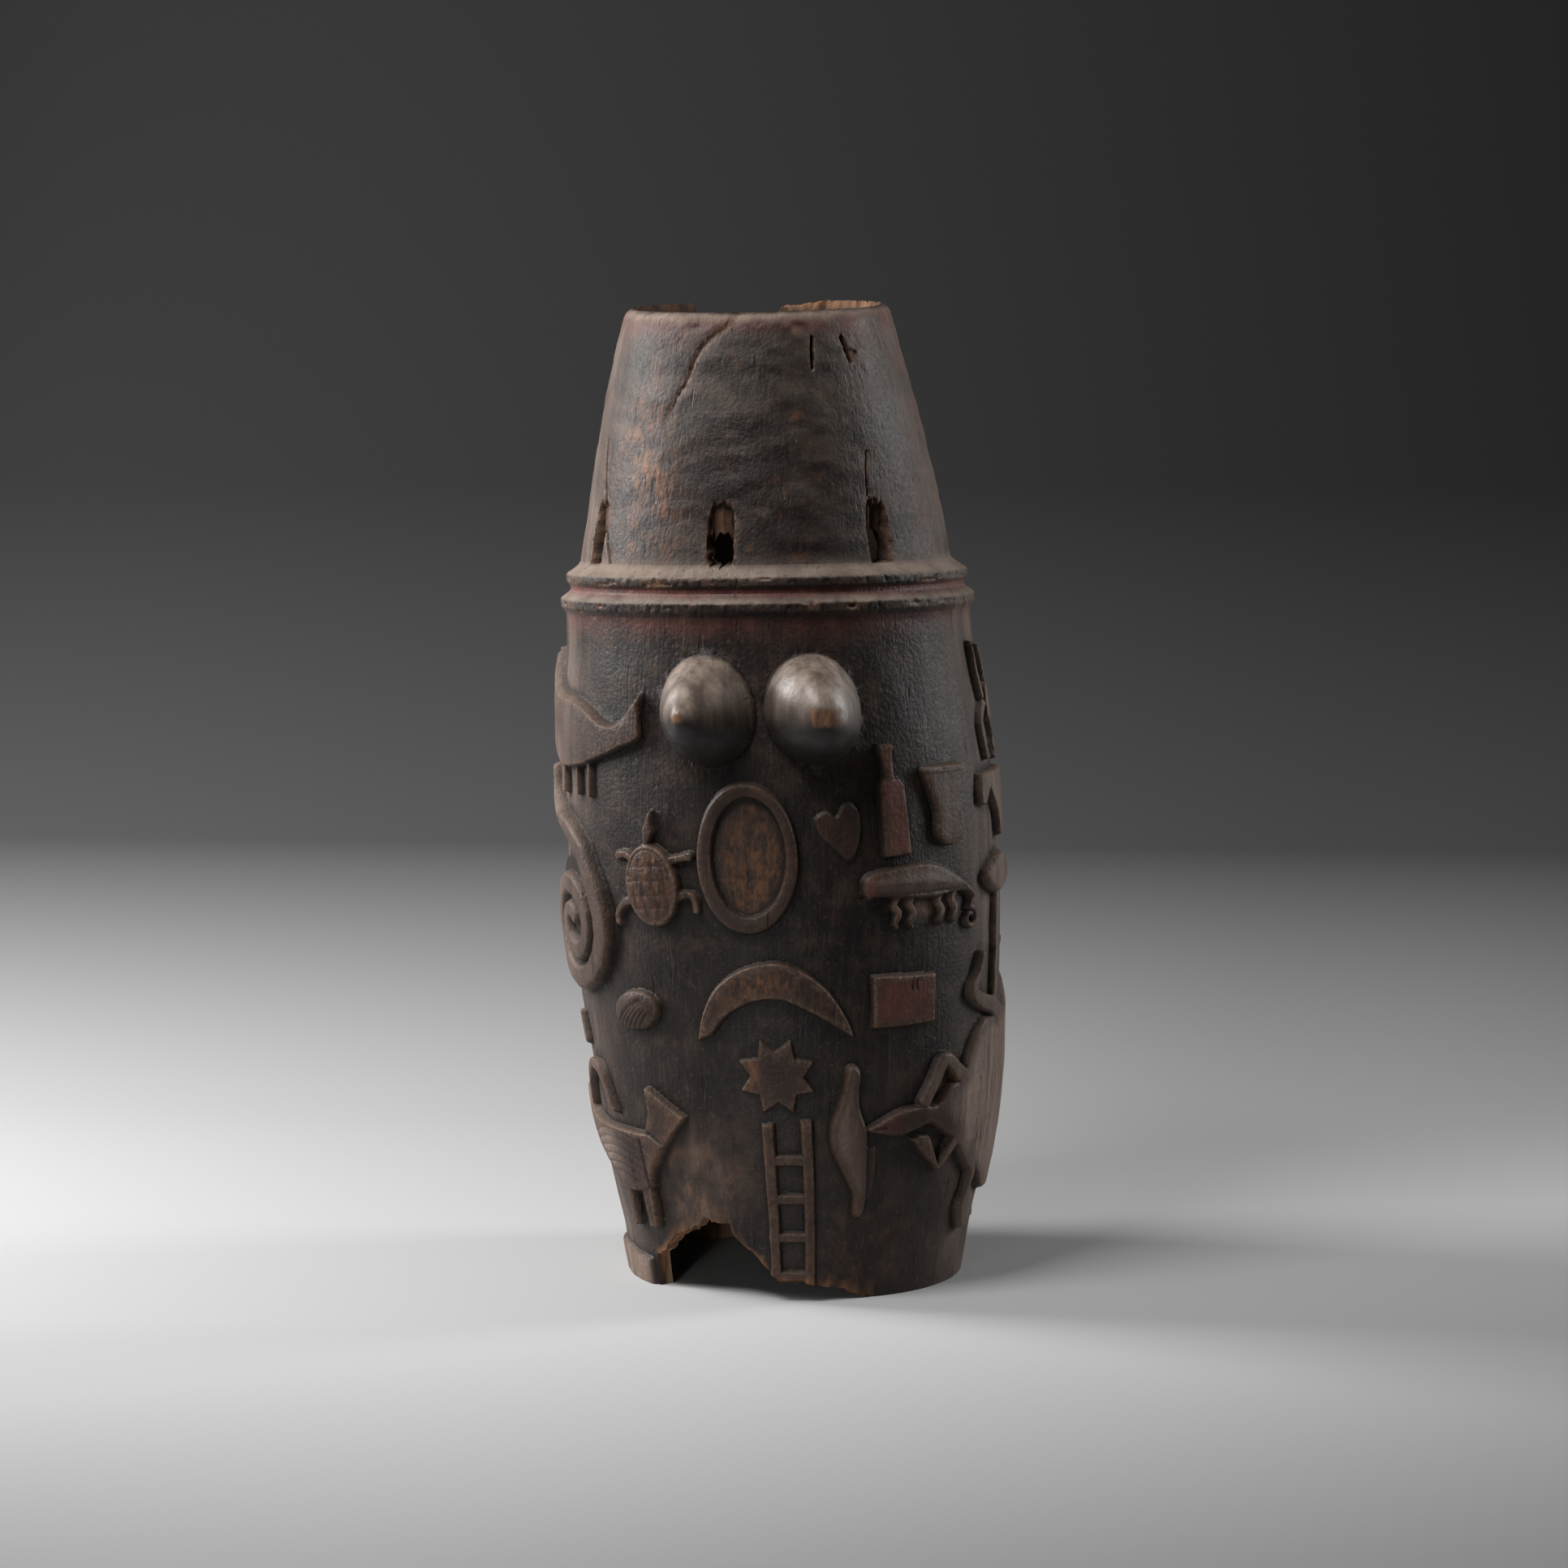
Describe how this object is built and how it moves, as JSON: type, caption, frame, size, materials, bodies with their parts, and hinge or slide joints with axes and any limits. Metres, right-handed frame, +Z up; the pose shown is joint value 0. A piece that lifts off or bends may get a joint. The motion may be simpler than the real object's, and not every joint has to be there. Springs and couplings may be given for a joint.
{
  "type": "carved drum",
  "caption": "Tall hollow carved wooden drum body with peg slots, two collars, a pair of breasts and low relief figures, with a broken foot.",
  "frame": {"origin": "middle of the footprint box, on the surface the drum stands on", "axes": "+Z up along the drum, -Y to the front, the side with the breasts; the log leans a little towards -X as it rises"},
  "size_m": [0.5064, 0.5484, 1.0812],
  "materials": {
    "wood": "satin patina, worn"
  },
  "bodies": {
    "root": {"drum_body": "wood"}
  },
  "joints": []
}
